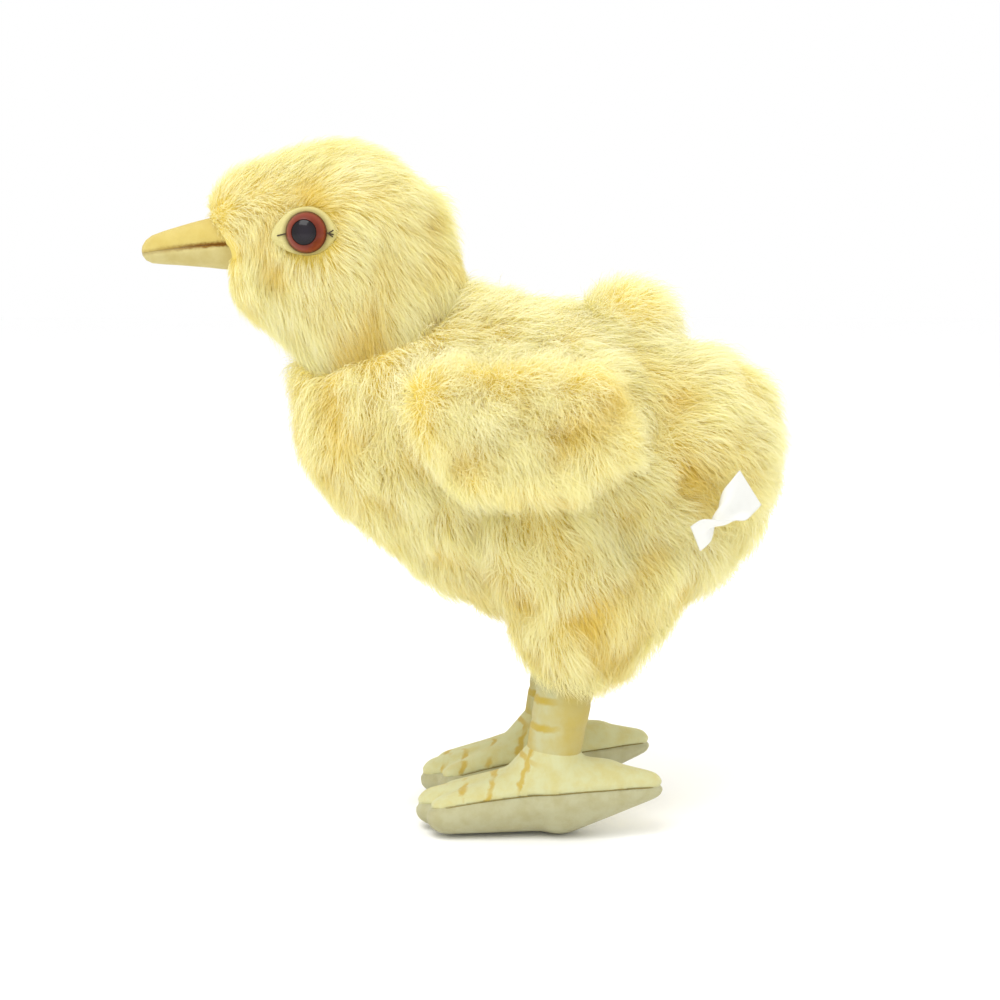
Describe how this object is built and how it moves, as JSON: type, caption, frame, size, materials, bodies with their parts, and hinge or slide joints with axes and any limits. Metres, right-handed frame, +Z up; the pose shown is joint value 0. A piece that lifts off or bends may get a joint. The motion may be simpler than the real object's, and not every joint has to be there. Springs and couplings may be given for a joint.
{
  "type": "plush chick toy",
  "caption": "Standing plush chick with a fluffy stuffed body, wired velour legs and feet, a sewn beak, safety eyes and flap wings.",
  "frame": {"origin": "on the floor under the middle of the bounding box", "axes": "+Z up, beak towards -Y, the chick's left side is +X"},
  "size_m": [0.0888, 0.1456, 0.1563],
  "materials": {
    "long_pile": "long soft plush pile, combed, pale yellow with deeper roots",
    "beak_velour": "short-pile velour, air-brushed mouth line",
    "leg_velour": "short-pile velour, air-brushed orange bands",
    "sole_velour": "short-pile velour, greyer yellow",
    "stuffing": "loose polyester fibre",
    "wire": "soft annealed armature wire",
    "eyelid_felt": "thin cream felt",
    "washer_plastic": "moulded locking washer",
    "iris_plastic": "polished brown safety eye",
    "pupil_plastic": "polished black",
    "insole_board": "pressed board",
    "thread": "sewing thread",
    "label_satin": "white satin ribbon, blank"
  },
  "bodies": {
    "torso": {"body_side_left": "long_pile", "body_side_right": "long_pile", "belly_gusset": "long_pile", "body_stuffing": "stuffing", "closing_seam": "thread", "spine_wire": "wire", "hip_wire": "wire", "thigh_left": "long_pile", "thigh_right": "long_pile", "thigh_filling_left": "stuffing", "thigh_filling_right": "stuffing"},
    "neck": {"neck_wire": "wire"},
    "head": {"head_side_left": "long_pile", "head_side_right": "long_pile", "head_gusset": "long_pile", "throat_panel": "long_pile", "head_stuffing": "stuffing", "head_wire": "wire", "beak_upper": "beak_velour", "beak_lower": "beak_velour", "beak_filling": "stuffing", "eyelid_left": "eyelid_felt", "eyelid_right": "eyelid_felt", "eye_left": "iris_plastic", "eye_right": "iris_plastic", "pupil_left": "pupil_plastic", "pupil_right": "pupil_plastic", "eye_washer_left": "washer_plastic", "eye_washer_right": "washer_plastic"},
    "label": {"care_label": "label_satin"},
    "wing_left": {"wing_cover_left": "long_pile", "wing_lining_left": "long_pile", "wing_filling_left": "stuffing"},
    "leg_left": {"leg_sleeve_left": "leg_velour", "leg_filling_left": "stuffing", "leg_wire_left": "wire"},
    "foot_left": {"foot_upper_left": "leg_velour", "foot_sole_left": "sole_velour", "foot_filling_left": "stuffing", "insole_left": "insole_board", "foot_wire_left": "wire"},
    "wing_right": {"wing_cover_right": "long_pile", "wing_lining_right": "long_pile", "wing_filling_right": "stuffing"},
    "leg_right": {"leg_sleeve_right": "leg_velour", "leg_filling_right": "stuffing", "leg_wire_right": "wire"},
    "foot_right": {"foot_upper_right": "leg_velour", "foot_sole_right": "sole_velour", "foot_filling_right": "stuffing", "insole_right": "insole_board", "foot_wire_right": "wire"}
  },
  "joints": [
    {"name": "neck_turn", "type": "hinge", "parent": "torso", "child": "neck", "pos_m": [0, -0.01905, 0.109], "axis": [0, 0, 1], "range_deg": [-20, 20]},
    {"name": "head_nod", "type": "hinge", "parent": "neck", "child": "head", "pos_m": [0, -0.01905, 0.109], "axis": [1, 0, 0], "range_deg": [-10, 10]},
    {"name": "label_flip", "type": "hinge", "parent": "torso", "child": "label", "pos_m": [0.02418, 0.06095, 0.0766], "axis": [0.1558, -0.5813, 0.7986], "range_deg": [0, 90]},
    {"name": "wing_lift_left", "type": "hinge", "parent": "torso", "child": "wing_left", "pos_m": [0.03469, 0.01995, 0.101], "axis": [0, -1, 0], "range_deg": [0, 60]},
    {"name": "hip_swing_left", "type": "hinge", "parent": "torso", "child": "leg_left", "pos_m": [0.017, 0.02345, 0.042], "axis": [1, 0, 0], "range_deg": [-15, 15]},
    {"name": "ankle_bend_left", "type": "hinge", "parent": "leg_left", "child": "foot_left", "pos_m": [0.017, 0.01895, 0.0165], "axis": [1, 0, 0], "range_deg": [-15, 15]},
    {"name": "wing_lift_right", "type": "hinge", "parent": "torso", "child": "wing_right", "pos_m": [-0.03469, 0.01995, 0.101], "axis": [0, 1, 0], "range_deg": [0, 60]},
    {"name": "hip_swing_right", "type": "hinge", "parent": "torso", "child": "leg_right", "pos_m": [-0.017, 0.02345, 0.042], "axis": [1, 0, 0], "range_deg": [-15, 15]},
    {"name": "ankle_bend_right", "type": "hinge", "parent": "leg_right", "child": "foot_right", "pos_m": [-0.017, 0.01895, 0.0165], "axis": [1, 0, 0], "range_deg": [-15, 15]}
  ]
}
